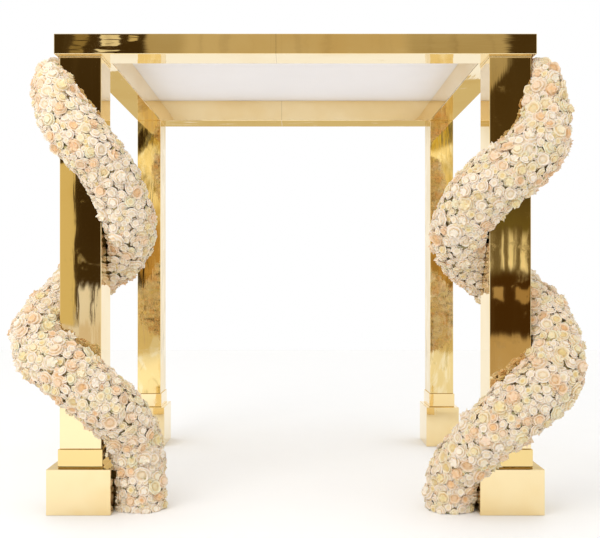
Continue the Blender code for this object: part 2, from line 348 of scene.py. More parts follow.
def settle(piece, slot, *nodes):
    """Makes a finished piece ride on the frame, in place of the plain nodes that it stands for."""
    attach(piece, BODY)
    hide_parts(*nodes)


def apply_modifier(thing, modifier):
    deselect_all()
    thing.select_set(True)
    bpy.context.view_layer.objects.active = thing
    bpy.ops.object.modifier_apply(modifier=modifier.name)


def thicken(thing, thickness):
    """Gives a sheet a thickness, half to each side."""
    shell = thing.modifiers.new("thickness", "SOLIDIFY")
    shell.thickness = thickness
    shell.offset = 0.0
    apply_modifier(thing, shell)


def finish_mesh(mesh, material, sharp):
    """Gives a mesh its one material and smooth shading, but for edges sharper than an angle in degrees."""
    mesh.materials.clear()
    mesh.materials.append(material)
    mesh.shade_smooth()
    mesh.set_sharp_from_angle(angle=math.radians(sharp))


# The colours of the pale and dark painted reflections marbled into the back posts' gold, and of the dirt in
# a joint between two sheets
PAINTED_PALE_REFLECTION, PAINTED_DARK_REFLECTION, GRIME = (1.0, 0.94, 0.72), (0.34, 0.23, 0.05), (0.18, 0.10, 0.03)
# Where the long beams have their joint and how deep it is. Near it the sheet rises over a short reach.
LONG_BEAM_SEAM, SEAM_DEPTH = -0.105, 0.0006
SEAM_LIFT, SEAM_LIFT_REACH = 0.0010, 0.035


def gold_sheet(name, settings, along, seam=None, looseness=1.0, tint=None, satin=0.0, painted_reflection=0.0):
    """Gold mirror sheet glued to board. Along is the axis its slow waves run along, seam is the place on it
    where two sheets meet, looseness is how much more than usual it waves, satin is extra blur, and
    painted_reflection is how strongly pale and dark painted reflections are marbled into its colour."""
    material, graph = new_material(name)
    slow, fine = [1.0, 1.0, 1.0], [1.0, 1.0, 1.0]
    slow[along] = 0.5
    fine[along] = 0.10
    waves = graph.noise(graph.object_place(slow), 1.0 / settings.ripple_length, 2.0, 0.5, 0.4)
    pulls = graph.noise(graph.object_place(fine, (3.1, 1.7, 0.6)), 34.0, 2.0, 0.55, 0.3)
    pulled = graph.noise(graph.object_place(slow, (5.0, 9.0, 1.0)), 3.0, 2.0, 0.5)
    cloud = graph.noise(graph.object_place(shift=(7.0, 2.0, 4.0)), 2.2, 3.0, 0.55)
    smudges = graph.noise(graph.object_place(shift=(1.0, 5.0, 2.0)), 9.0, 4.0, 0.62, 0.4)
    smudged = graph.range(smudges, 0.56, 0.78)
    pulls = pulls * graph.range(pulled, 0.35, 0.65, 0.2, 1.0) * (settings.pull * looseness)
    height = waves * (settings.ripple * looseness) + pulls
    deep_tint = scaled_color(tint, 0.9) if tint else settings.deep_tint
    color = graph.mix(graph.range(cloud, 0.42, 0.68), tint or settings.tint, deep_tint)
    if seam is not None:
        gap = abs(graph.object_place()[along] - seam)
        height = height - graph.range(gap, settings.seam_width * 0.5, 0.0, 0.0, SEAM_DEPTH)
        height = height + graph.range(gap, SEAM_LIFT_REACH, 0.0, 0.0, SEAM_LIFT)
        dirty = graph.range(gap, settings.seam_width * 0.6, settings.seam_width * 0.3)
        color = graph.mix(dirty * 0.75, color, GRIME)
    # Painted reflection: pale highlights and dark reflections marbled into the gold's colour
    if painted_reflection:
        pale = graph.noise(graph.object_place(slow, (2.0, 6.0, 0.4)), 6.5, 4.0, 0.6, 1.4)
        dark = graph.noise(graph.object_place(slow, (8.0, 1.0, 3.3)), 5.0, 4.0, 0.6, 1.8)
        color = graph.mix(graph.range(pale, 0.50, 0.62) * painted_reflection, color, PAINTED_PALE_REFLECTION)
        color = graph.mix(graph.range(dark, 0.56, 0.66) * painted_reflection, color, PAINTED_DARK_REFLECTION)
    graph.surface(
        Base_Color=color,
        Metallic=1.0,
        Roughness=smudged * settings.smudge + (settings.roughness + satin),
        Normal=graph.bump(height),
    )
    return material


class CHUPPAH_OT_finish_bases(bpy.types.Operator):
    """Give the four bases and foot blocks their gold mirror sheet"""

    bl_idname = "chuppah.finish_bases"
    bl_label = "Finish Bases"

    def execute(self, context):
        settings = context.scene.chuppah_gold
        gold = gold_sheet("base_gold", settings, 2)
        # The front foot blocks take the darker gold copy as painted dim reflection
        front_foot_gold = gold_sheet("front_foot_gold", settings, 2, tint=settings.painted_dim_gold)
        for hand, _ in HANDS:
            dress_node(f"base_front_{hand}", gold)
            dress_node(f"base_back_{hand}", gold)
            dress_node(f"foot_block_front_{hand}", front_foot_gold)
            dress_node(f"foot_block_back_{hand}", gold)
        return {"FINISHED"}


class CHUPPAH_OT_finish_posts(bpy.types.Operator):
    """Give the four posts and the cap plates their gold mirror sheet"""

    bl_idname = "chuppah.finish_posts"
    bl_label = "Finish Posts"

    def execute(self, context):
        settings = context.scene.chuppah_gold
        front_gold = gold_sheet("front_post_gold", settings, 2, looseness=0.16)
        # The back posts get the darker gold copy as painted dim reflection, and marbled pale and dark
        # painted reflections
        back_look = {"looseness": 1.4, "tint": settings.painted_dim_gold, "satin": 0.02, "painted_reflection": 0.35}
        back_gold = gold_sheet("back_post_gold", settings, 2, **back_look)
        cap_gold = gold_sheet("cap_gold", settings, 0, satin=0.18)
        for hand, _ in HANDS:
            dress_node(f"post_front_{hand}", front_gold)
            dress_node(f"cap_plate_{hand}", cap_gold)
            dress_node(f"post_back_{hand}", back_gold)
        return {"FINISHED"}


class CHUPPAH_OT_finish_beams(bpy.types.Operator):
    """Give the beams and the batten their gold mirror sheet, with a joint in the long ones"""

    bl_idname = "chuppah.finish_beams"
    bl_label = "Finish Beams"

    def execute(self, context):
        settings = context.scene.chuppah_gold
        long_gold = gold_sheet("long_beam_gold", settings, 0, seam=LONG_BEAM_SEAM)
        side_gold = gold_sheet("side_beam_gold", settings, 1)
        for node in ("front_beam", "front_batten", "back_beam"):
            dress_node(node, long_gold)
        for hand, _ in HANDS:
            dress_node(f"side_beam_{hand}", side_gold)
        return {"FINISHED"}


# The length of one wave of the wave texture at scale 1, and how far the weave's ribs and slubs stand out
WAVE_LENGTH = math.tau / 20.0
RIB_HEIGHT, SLUB_HEIGHT = 0.00012, 0.0003


def cloth_material(settings):
    material, graph = new_material("white_stretch_cloth")
    place = graph.node("TexCoord", {}, {}, 3)
    weave = []
    for axis in "XY":
        inputs = {"Vector": place, "Scale": WAVE_LENGTH / settings.thread, "Distortion": 0.4, "Detail": 1.0}
        weave.append(graph.node("TexWave", {"bands_direction": axis}, inputs, 1))
    cloud = graph.noise(graph.object_place(), 1.3, 3.0, 0.5)
    slub = graph.noise(graph.object_place((6.0, 90.0, 1.0)), 1.0, 3.0, 0.5)
    height = (weave[0] + weave[1]) * RIB_HEIGHT + slub * SLUB_HEIGHT
    shade = graph.mix(graph.range(cloud, 0.3, 0.75), settings.tint, scaled_color(settings.tint, 0.965))
    graph.surface(
        Base_Color=graph.mix(graph.range(slub, 0.45, 0.8) * 0.3, shade, scaled_color(settings.tint, 0.93)),
        Roughness=0.9,
        Sheen_Weight=0.15,
        Normal=graph.bump(height),
    )
    return material


class CHUPPAH_OT_stretch_cloth(bpy.types.Operator):
    """Stretch the roof cloth over the beams as one taut sheet"""

    bl_idname = "chuppah.stretch_cloth"
    bl_label = "Stretch Cloth"

    cells_x: IntProperty(name="Cells across", description="Cells from side to side", default=96)
    cells_y: IntProperty(name="Cells deep", description="Cells from front to back", default=84)

    def execute(self, context):
        settings = context.scene.chuppah_cloth
        deselect_all()
        bottom = BACK_BEAM_HIGH.z + CLEARANCE
        middle = (CLOTH_LOW + CLOTH_HIGH) / 2
        width = CLOTH_HIGH.x - CLOTH_LOW.x
        depth = CLOTH_HIGH.y - CLOTH_LOW.y
        bpy.ops.mesh.primitive_grid_add(
            x_subdivisions=self.cells_x,
            y_subdivisions=self.cells_y,
            size=1.0,
            location=(middle.x, middle.y, bottom + settings.thickness / 2),
        )
        cloth = context.object
        cloth.name = "roof_cloth"
        cloth.data.name = "roof_cloth"
        cloth.scale = (width, depth, 1.0)
        bpy.ops.object.transform_apply(location=True, rotation=False, scale=True)
        mid_y = (BATTEN_BACK + BACK_BEAM_LOW.y) / 2
        half_y = (BACK_BEAM_LOW.y - BATTEN_BACK) / 2
        for point in cloth.data.vertices:
            u = point.co.x / SIDE_BEAM_INSIDE
            v = (point.co.y - mid_y) / half_y
            free = max(0.0, 1 - u * u) * max(0.0, 1 - v * v)
            near_edge = free * (1 - free) * 4.0
            pull = math.sin(point.co.x * 23.0 + math.sin(point.co.y * 3.0)) * abs(v) ** 3
            pull += math.sin(point.co.y * 21.0 + math.sin(point.co.x * 2.6)) * abs(u) ** 3
            point.co.z -= settings.sag * free**2 - settings.pucker * pull * near_edge
        thicken(cloth, settings.thickness)
        finish_mesh(cloth.data, cloth_material(settings), sharp=50)
        settle(cloth, "white_cloth", "canopy_cloth")
        return {"FINISHED"}


def smooth_value(values, t):
    """A value on the smooth curve through a list, at t list places from its start."""
    i = min(max(int(math.floor(t)), 0), len(values) - 2)
    f = t - i
    here, there = values[i], values[i + 1]
    before = values[i - 1] if i > 0 else 2 * here - there
    after = values[i + 2] if i + 2 < len(values) else 2 * there - here
    out, back = (there - before) / 2, (after - here) / 2
    square, cube = f * f, f * f * f
    return (
        here * (2 * cube - 3 * square + 1)
        + out * (cube - 2 * square + f)
        + there * (3 * square - 2 * cube)
        + back * (cube - square)
    )


# The rope's direction is taken this far along the stations, and is upright when less than this is level
NEARBY, UPRIGHT = 0.02, 0.05


class Route:
    """The line of one garland round its post."""

    def __init__(self, hand, side):
        self.side = side
        self.columns = list(zip(*GARLAND_STATIONS[hand]))
        self.end = len(self.columns[0]) - 1
        self.cuts = [0.0] + [self.at_turn(turn) for turn in GARLAND_CUTS] + [float(self.end)]

    def at_turn(self, turn):
        """How far along the stations the rope has made this turn."""
        low, high = 0.0, float(self.end)
        for _ in range(HALVINGS):
            middle = (low + high) / 2
            low, high = (middle, high) if smooth_value(self.columns[0], middle) < turn else (low, middle)
        return low

    def middle(self, t):
        turn, height, distance = (smooth_value(self.columns[k], t) for k in range(3))
        angle = math.radians(turn)
        x = self.side * (POST_MIDDLE.x - distance * math.sin(angle))
        return Vector((x, POST_MIDDLE.y - distance * math.cos(angle), height))

    def radius(self, t):
        return smooth_value(self.columns[3], t)

    def cross(self, t):
        """Two directions square to the rope, the first one level."""
        before, after = max(t - NEARBY, 0.0), min(t + NEARBY, self.end)
        ahead = (self.middle(after) - self.middle(before)).normalized()
        level = ahead.cross(Vector((0.0, 0.0, 1.0)))
        if level.length < UPRIGHT:
            level = Vector((0.0, 1.0, 0.0))
        level.normalize()
        return level, ahead.cross(level).normalized()

    def stretch(self, t):
        """The name of the stretch that a place on the route is in."""
        for name, start, end in zip(GARLAND_STRETCHES, self.cuts, self.cuts[1:]):
            if start <= t <= end:
                return name
        return GARLAND_STRETCHES[-1]


def boxes_to_clear(hand):
    """The solid boxes that a garland's flowers press against."""
    nodes = (f"post_front_{hand}", f"foot_block_front_{hand}", f"base_front_{hand}", f"cap_plate_{hand}")
    room = Vector((CLEARANCE, CLEARANCE, CLEARANCE))
    return [(low - room, high + room) for low, high in map(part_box, nodes)]


def clear_of(point, boxes, margin):
    """Whether a point keeps a margin from the boxes and lies between the floor and the beam."""
    for low, high in boxes:
        if all(low[k] - margin < point[k] < high[k] + margin for k in range(3)):
            return False
    return CLEARANCE + margin * 0.5 < point.z < BEAM_UNDERSIDE - margin


def push_clear(mesh, boxes):
    """Moves points that lie in the post, foot block, base or floor out to its face."""
    count = len(mesh.vertices)
    points = np.empty(count * 3, np.float32)
    mesh.vertices.foreach_get("co", points)
    points = points.reshape(-1, 3)
    for _ in range(2):
        for low, high in boxes:
            low, high = np.array(low), np.array(high)
            inside = np.all((points > low) & (points < high), axis=1)
            if not inside.any():
                continue
            found = points[inside]
            faces = ((0, low[0]), (0, high[0]), (1, low[1]), (1, high[1]))
            nearest = np.stack([abs(found[:, axis] - place) for axis, place in faces]).argmin(axis=0)
            for face, (axis, place) in enumerate(faces):
                found[nearest == face, axis] = place
            points[inside] = found
    points[:, 2] = np.clip(points[:, 2], CLEARANCE, BEAM_UNDERSIDE - CLEARANCE)
    mesh.vertices.foreach_set("co", points.reshape(-1))
    mesh.update()


# A flower head is drawn ring by ring from its base to its heart: the base's radius and height, the rings,
# and the heart's height. A ring is the radius at the petals' tips and at the notches between them, the
# height at each, the turn in degrees, and how deep in a fold the ring lies, from 0 to 1, which is the share
# of painted shade it gets.
Head = namedtuple("Head", "base_radius base_height rings heart")
ROSES = {
    "a_full_rose": Head(0.34, -0.52, (
        (1.00, 0.91, -0.04, -0.16, 0, 0.0),
        (0.76, 0.72, 0.10, 0.04, 20, 1.0),
        (0.80, 0.72, 0.36, 0.24, 36, 0.0),
        (0.50, 0.48, 0.34, 0.30, 56, 1.0),
        (0.48, 0.40, 0.58, 0.46, 82, 0.1),
    ), 0.42),
    "b_open_rose": Head(0.34, -0.52, (
        (1.00, 0.90, 0.02, -0.12, 0, 0.0),
        (0.80, 0.74, 0.12, 0.06, 22, 0.8),
        (0.82, 0.74, 0.42, 0.30, 42, 0.0),
        (0.52, 0.48, 0.14, 0.10, 50, 0.9),
        (0.32, 0.27, 0.26, 0.18, 66, 0.4),
    ), 0.24),
    "c_tight_rose": Head(0.34, -0.52, (
        (0.96, 0.90, -0.12, -0.20, 0, 0.0),
        (0.80, 0.77, 0.08, 0.02, 18, 0.9),
        (0.78, 0.72, 0.34, 0.24, 30, 0.0),
        (0.58, 0.56, 0.36, 0.30, 54, 1.0),
        (0.53, 0.46, 0.58, 0.48, 74, 0.1),
    ), 0.46),
}
BLOSSOM = Head(0.30, -0.50, (
    (1.00, 0.86, -0.06, -0.18, 0, 0.0),
    (0.66, 0.60, 0.12, 0.06, 24, 0.8),
    (0.70, 0.58, 0.36, 0.26, 38, 0.0),
    (0.30, 0.26, 0.26, 0.22, 50, 0.6),
), 0.30)
ROSE_COPIES, BLOSSOM_COPIES = 2, 3
PETALS = 5
POINTS_PER_PETAL = 3
# How much the petals of a head differ in width and height
UNEVENNESS = 0.07
# Each petal's points, from the notch where it tucks under its neighbour to the lip that lies over the next
PETAL_SPREAD = (1.0, 1.01, 1.03)
PETAL_LIFT = (0.0, 0.04, 0.03)


def flower_head(name, shape, chooser):
    """A closed flower head of radius 1, made from a disc whose rim is extruded into rings of petals. Its
    attribute rim is how far each point is from the middle, and painted_shade is how much painted shade the
    petal colour takes there: all of it at the base and the heart, and each ring's listed share between
    petals."""
    deselect_all()
    sides = PETALS * POINTS_PER_PETAL
    bpy.ops.mesh.primitive_circle_add(
        vertices=sides, radius=shape.base_radius, fill_type="NGON", location=(0.0, 0.0, shape.base_height)
    )
    head = bpy.context.object
    head.name = name
    bpy.ops.object.transform_apply(location=True, rotation=False, scale=False)
    # Painted shade: every point of the base starts fully shaded, darkening each head's underside
    for item in head.data.attributes.new("painted_shade", "FLOAT", "POINT").data:
        item.value = 1.0
    bpy.ops.object.mode_set(mode="EDIT")
    bpy.ops.mesh.select_mode(type="EDGE")
    bpy.ops.mesh.select_all(action="SELECT")
    bpy.ops.mesh.region_to_loop()
    radius, height, turned = shape.base_radius, shape.base_height, 0.0
    for tip, notch, tip_height, notch_height, turn, painted_shade in shape.rings:
        bpy.ops.mesh.extrude_edges_move(TRANSFORM_OT_translate={"value": (0.0, 0.0, tip_height - height)})
        grow = tip / radius
        bpy.ops.transform.resize(value=(grow, grow, 1.0), center_override=(0.0, 0.0, 0.0))
        bpy.ops.transform.rotate(
            value=math.radians(turn - turned), orient_axis="Z", center_override=(0.0, 0.0, 0.0)
        )
        work = bmesh.from_edit_mesh(head.data)
        layer = work.verts.layers.float["painted_shade"]
        ring = [vert for vert in work.verts if vert.select]
        ring.sort(key=lambda vert: math.atan2(vert.co.y, vert.co.x) % (2 * math.pi))
        first = min(ring, key=lambda vert: abs(vert.co.to_2d().angle_signed(Vector((1.0, 0.0)), 0.0)))
        start = ring.index(first)
        uneven = [[chooser.uniform(-UNEVENNESS, UNEVENNESS) for _ in range(2)] for _ in range(PETALS)]
        for i, vert in enumerate(ring):
            vert[layer] = painted_shade
            petal, point = divmod((i - start) % sides, POINTS_PER_PETAL)
            wider, higher = uneven[petal]
            share = notch / tip if point == 0 else PETAL_SPREAD[point] + wider
            vert.co.x *= share
            vert.co.y *= share
            vert.co.z = notch_height if point == 0 else vert.co.z + (higher + PETAL_LIFT[point]) * tip
        bmesh.update_edit_mesh(head.data)
        radius, height, turned = tip, tip_height, turn
    bpy.ops.mesh.extrude_edges_move(TRANSFORM_OT_translate={"value": (0.0, 0.0, shape.heart - height)})
    bpy.ops.mesh.merge(type="CENTER")
    work = bmesh.from_edit_mesh(head.data)
    layer = work.verts.layers.float["painted_shade"]
    for vert in work.verts:
        if vert.select:
            vert.co = (0.0, 0.0, shape.heart)
            vert[layer] = 1.0
    bmesh.update_edit_mesh(head.data)
    bpy.ops.mesh.select_all(action="SELECT")
    bpy.ops.mesh.normals_make_consistent(inside=False)
    bpy.ops.object.mode_set(mode="OBJECT")
    rim = head.data.attributes.new("rim", "FLOAT", "POINT")
    for vert, item in zip(head.data.vertices, rim.data):
        item.value = min(1.0, vert.co.to_2d().length)
    return head


# A leaf of length 1: its width, the width of its tip, how steeply it folds, its droop and its thickness
LEAF_WIDTH, LEAF_TIP, LEAF_FOLD, LEAF_DROOP, LEAF_THICKNESS = 0.55, 0.02, 0.45, 0.12, 0.03


def leaf_blade(name):
    """A closed pointed leaf of length 1 along X, folded along its rib."""
    deselect_all()
    bpy.ops.mesh.primitive_plane_add(size=1.0, location=(0.5, 0.0, 0.0))
    leaf = bpy.context.object
    leaf.name = name
    bpy.ops.object.transform_apply(location=True, rotation=False, scale=False)
    bpy.ops.object.mode_set(mode="EDIT")
    bpy.ops.mesh.select_all(action="SELECT")
    bpy.ops.mesh.subdivide(number_cuts=1)
    work = bmesh.from_edit_mesh(leaf.data)
    for vert in work.verts:
        bulge = 4.0 * vert.co.x * (1.0 - vert.co.x)
        vert.co.y *= LEAF_WIDTH * bulge + LEAF_TIP
        vert.co.z = LEAF_FOLD * abs(vert.co.y) - LEAF_DROOP * vert.co.x**2
    bmesh.update_edit_mesh(leaf.data)
    bpy.ops.object.mode_set(mode="OBJECT")
    thicken(leaf, LEAF_THICKNESS)
    return leaf


# The last stretch of a route is under the floor, and no flower is tried in this much of it
UNUSED_END = 0.6
# A flower's place: its model's number, how far along the route it is, its middle, turn, radius and tint
Seat = namedtuple("Seat", "kind along place turn radius tint")


class Packing:
    """Flowers laid side by side over one garland, no two closer than their sizes allow."""

    # The side of the cubes that neighbours are looked up in, wider than two of the largest flowers need
    CELL = 0.09

    def __init__(self, route, boxes, closeness, chooser):
        self.route = route
        self.boxes = boxes
        self.closeness = closeness
        self.chooser = chooser
        self.cells = {}
        self.seats = []

    def take(self):
        """The seats found since the last time. Later flowers still keep clear of them."""
        taken, self.seats = self.seats, []
        return taken

    def cell_of(self, point):
        return tuple(int(math.floor(c / self.CELL)) for c in point)

    def has_room(self, point, radius):
        cx, cy, cz = self.cell_of(point)
        for x in (cx - 1, cx, cx + 1):
            for y in (cy - 1, cy, cy + 1):
                for z in (cz - 1, cz, cz + 1):
                    for other, size in self.cells.get((x, y, z), ()):
                        if (other - point).length < (size + radius) * self.closeness:
                            return False
        return True

    def add(self, kind, tries, radii, sinks, tilt, first=0.9, margin=0.35):
        """Tries places all over the rope and keeps those with room. Sinks is how far the middle lies under
        the surface, as shares of the radius, tilt is the most that it leans, first is where on the route it
        starts, and margin is how far it keeps from the frame, as a share of the radius."""
        chooser = self.chooser
        for _ in range(tries):
            t = chooser.uniform(first, self.route.end - UNUSED_END)
            sink = chooser.uniform(*sinks)
            around = chooser.uniform(0.0, 2 * math.pi)
            radius = chooser.uniform(*radii)
            lean = chooser.uniform(0.0, tilt)
            lean_way = chooser.uniform(0.0, 2 * math.pi)
            spin = chooser.uniform(0.0, 2 * math.pi)
            tint = chooser.random()
            rope = self.route.radius(t)
            level, across = self.route.cross(t)
            out = level * math.cos(around) + across * math.sin(around)
            surface = self.route.middle(t) + out * rope
            if not self.has_room(surface, radius) or not clear_of(surface, self.boxes, radius * margin):
                continue
            self.cells.setdefault(self.cell_of(surface), []).append((surface, radius))
            side = out.orthogonal().normalized()
            facing = Matrix.Rotation(lean_way, 3, out) @ Matrix.Rotation(lean, 3, side) @ out
            turn = facing.to_track_quat("Z", "X").to_matrix() @ Matrix.Rotation(spin, 3, "Z")
            place = surface - out * (radius * sink)
            self.seats.append(Seat(kind, t, place, turn.to_euler(), radius, tint))


def scatter_group():
    """A node group that puts one of a collection's flowers on each seat and makes them real."""
    group = bpy.data.node_groups.new("seat_flowers", "GeometryNodeTree")
    interface = group.interface
    interface.new_socket("Seats", in_out="INPUT", socket_type="NodeSocketGeometry")
    interface.new_socket("Flowers", in_out="INPUT", socket_type="NodeSocketCollection")
    interface.new_socket("Flowers", in_out="OUTPUT", socket_type="NodeSocketGeometry")
    nodes, links = group.nodes, group.links
    given = nodes.new("NodeGroupInput")
    result = nodes.new("NodeGroupOutput")
    kinds = nodes.new("GeometryNodeCollectionInfo")
    kinds.inputs["Separate Children"].default_value = True
    kinds.inputs["Reset Children"].default_value = True
    seated = nodes.new("GeometryNodeInstanceOnPoints")
    seated.inputs["Pick Instance"].default_value = True
    real = nodes.new("GeometryNodeRealizeInstances")
    for attribute, kind, socket in (
        ("kind", "INT", "Instance Index"),
        ("turn", "FLOAT_VECTOR", "Rotation"),
        ("size", "FLOAT_VECTOR", "Scale"),
    ):
        stored = nodes.new("GeometryNodeInputNamedAttribute")
        stored.data_type = kind
        stored.inputs["Name"].default_value = attribute
        links.new(stored.outputs["Attribute"], seated.inputs[socket])
    links.new(given.outputs["Flowers"], kinds.inputs["Collection"])
    links.new(given.outputs["Seats"], seated.inputs["Points"])
    links.new(kinds.outputs["Instances"], seated.inputs["Instance"])
    links.new(seated.outputs["Instances"], real.inputs["Geometry"])
    links.new(real.outputs["Geometry"], result.inputs["Flowers"])
    return group


def seat_flowers(name, seats, flowers, height, material, boxes):
    """One joined mesh with a flower on each seat. Height stretches the flowers outward."""
    mesh = bpy.data.meshes.new(name)
    mesh.from_pydata([tuple(seat.place) for seat in seats], [], [])
    shape = (1.0, 1.0, height)
    columns = (
        ("kind", "INT", "value", [seat.kind for seat in seats]),
        ("turn", "FLOAT_VECTOR", "vector", [c for seat in seats for c in seat.turn]),
        ("size", "FLOAT_VECTOR", "vector", [seat.radius * c for seat in seats for c in shape]),
        ("tint", "FLOAT", "value", [seat.tint for seat in seats]),
    )
    for attribute, kind, field, values in columns:
        mesh.attributes.new(attribute, kind, "POINT").data.foreach_set(field, values)
    piece = bpy.data.objects.new(name, mesh)
    bpy.context.scene.collection.objects.link(piece)
    modifier = piece.modifiers.new("flowers", "NODES")
    modifier.node_group = bpy.data.node_groups.get("seat_flowers") or scatter_group()
    for item in modifier.node_group.interface.items_tree:
        if item.in_out == "INPUT" and item.socket_type == "NodeSocketCollection":
            modifier[item.identifier] = flowers
    apply_modifier(piece, modifier)
    mesh = piece.data
    for attribute in ("kind", "turn", "size"):
        if attribute in mesh.attributes:
            mesh.attributes.remove(mesh.attributes[attribute])
    finish_mesh(mesh, material, sharp=72)
    push_clear(mesh, boxes)
    return piece


def kept_apart(name, things):
    """Puts model flowers in a collection that isn't in the scene."""
    collection = bpy.data.collections.new(name)
    for thing in things:
        for old in list(thing.users_collection):
            old.objects.unlink(thing)
        collection.objects.link(thing)
    return collection


def throw_away(collection):
    for thing in list(collection.objects):
        mesh = thing.data
        bpy.data.objects.remove(thing, do_unlink=True)
        bpy.data.meshes.remove(mesh)
    bpy.data.collections.remove(collection)


# A petal's colour is multiplied by the first of these as painted shade deep in its folds, under its head
# and at its heart, and mottled with the second
PAINTED_SHADE_TINT = (0.76, 0.56, 0.26)
PETAL_MOTTLE = (0.80, 0.72, 0.52)
LEAF_SPECKS = (0.30, 0.25, 0.12)


def petal_material(name, kinds, veins):
    """Silk petals. A kind is where it starts on the tint attribute, and its petals' and heart's colours.
    Rim runs from heart to tip, and painted_shade is the painted shade deep between petals, under the head
    and at the heart."""
    material, graph = new_material(name)
    tint, rim, painted_shade = (graph.attribute(a) for a in ("tint", "rim", "painted_shade"))
    petal = graph.ramp(tint, [(start, color) for start, color, _ in kinds], "CONSTANT")
    heart = graph.ramp(tint, [(start, color) for start, _, color in kinds], "CONSTANT")
    own = graph.math("FRACT", tint * 37.0)
    color = graph.mix(graph.range(rim, 0.85, 0.15) * graph.range(own, 0.0, 1.0, 0.25, 1.0), petal, heart)
    # Painted shade: the colour turns darker and warmer deep in the folds, under the head and at the heart
    color = graph.mix(painted_shade * 0.85, color, graph.mix(1.0, color, PAINTED_SHADE_TINT, "MULTIPLY"))
    mottle = graph.noise(graph.object_place(), 42.0, 3.0, 0.6, 0.3)
    color = graph.mix(graph.range(mottle, 0.35, 0.75) * 0.35, color, PETAL_MOTTLE)
    ribs = graph.noise(graph.object_place(shift=(3.0, 1.0, 2.0)), veins, 2.0, 0.5, 1.2)
    graph.surface(
        Base_Color=color,
        Roughness=0.62,
        Subsurface_Weight=0.15,
        Subsurface_Radius=(0.012, 0.007, 0.005),
        Sheen_Weight=0.10,
        Normal=graph.bump(ribs * 0.0012 + mottle * 0.0008),
    )
    return material


def leaf_material(color):
    material, graph = new_material("silk_leaf")
    grain = graph.noise(graph.object_place(), 60.0, 2.0, 0.5, 0.5)
    shade = graph.mix(graph.attribute("tint"), color, scaled_color(color, 2.4))
    graph.surface(
        Base_Color=graph.mix(graph.range(grain, 0.35, 0.7) * 0.35, shade, LEAF_SPECKS),
        Roughness=0.55,
        Normal=graph.bump(grain * 0.002),
    )
    return material


def core_material(petal, leaf):
    """Tiny florets packed over the core, each a cell whose edge is darkened as painted shade between
    florets.
    """
    material, graph = new_material("floret_core")
    place = graph.object_place()
    cells = graph.node("TexVoronoi", {}, {"Vector": place, "Scale": 75.0})
    tone = Value(graph, cells.socket.node.outputs["Color"])
    clumps = graph.noise(place, 26.0, 3.0, 0.6, 0.4)
    floret = graph.mix(tone[0] * 0.5, petal, scaled_color(petal, 1.3))
    floret = graph.mix(graph.range(clumps, 0.54, 0.70), floret, leaf)
    graph.surface(
        # Painted shade: each floret cell darkens towards its edge
        Base_Color=graph.mix(graph.range(cells, 0.35, 0.75) * 0.7, floret, scaled_color(petal, 0.45)),
        Roughness=0.8,
        Normal=graph.bump(clumps * 0.006 - cells * 0.006),
    )
    return material


# The rope's middle is looked up at this many steps a stretch, and a core keeps at least this share of its
# distance from it
CORE_STEPS = 40
LEAST_CORE = 0.25


class CHUPPAH_OT_wind_cores(bpy.types.Operator):
    """Wind the cores of tiny florets that the flowers are pinned to"""

    bl_idname = "chuppah.wind_cores"
    bl_label = "Wind Cores"

    def execute(self, context):
        depth = context.scene.chuppah_garland.core_depth
        colours = context.scene.chuppah_colours
        material = core_material(colours.core, colours.leaf)
        for hand, side in HANDS:
            route = Route(hand, side)
            boxes = boxes_to_clear(hand)
            for i, stretch in enumerate(GARLAND_STRETCHES):
                node = f"garland_{hand}_{stretch}"
                core = bpy.data.objects.new(f"core_{hand}_{stretch}", frame["nodes"][node].data.copy())
                context.scene.collection.objects.link(core)
                work = bmesh.new()
                work.from_mesh(core.data)
                bmesh.ops.remove_doubles(work, verts=work.verts, dist=0.0001)
                start, end = route.cuts[i : i + 2]
                places = [start + (end - start) * k / CORE_STEPS for k in range(CORE_STEPS + 1)]
                middles = [(route.middle(t), route.radius(t)) for t in places]
                for vert in work.verts:
                    middle, radius = min(middles, key=lambda m: (m[0] - vert.co).length_squared)
                    keep = max(LEAST_CORE, 1.0 - depth / radius)
                    vert.co = middle + (vert.co - middle) * keep
                work.to_mesh(core.data)
                work.free()
                finish_mesh(core.data, material, sharp=50)
                push_clear(core.data, boxes)
                settle(core, "flowers", node)
        return {"FINISHED"}


# The roses come in three passes from large to small, and the left garland has fewer of them
ROSE_TRIES = (30, 90, 190)
ROSE_SHARE = {"left": 0.65, "right": 1.0}
ROSE_SINKS, ROSE_TILT, ROSE_HEIGHT = (0.20, 0.60), 0.45, 0.95
# Blossoms lie between the roses, and a second pass fills the gaps deeper down. Each pass has its tries, the
# radii as shares of a blossom's, the sinks and the margin.
BLOSSOM_PASSES = ((5000, (0.85, 1.2), (0.15, 0.70), 0.2), (8000, (0.70, 0.95), (0.60, 1.0), 0.1))
BLOSSOM_TILT, BLOSSOM_START = 0.6, 0.3
FILL_CLOSENESS, LEAF_CLOSENESS = 0.55, 0.47
LEAF_TRIES, LEAF_SHARES, LEAF_SINKS, LEAF_TILT = 3000, (0.42, 0.6), (0.3, 0.6), 1.2


def shares(size, bounds):
    return tuple(size * bound for bound in bounds)


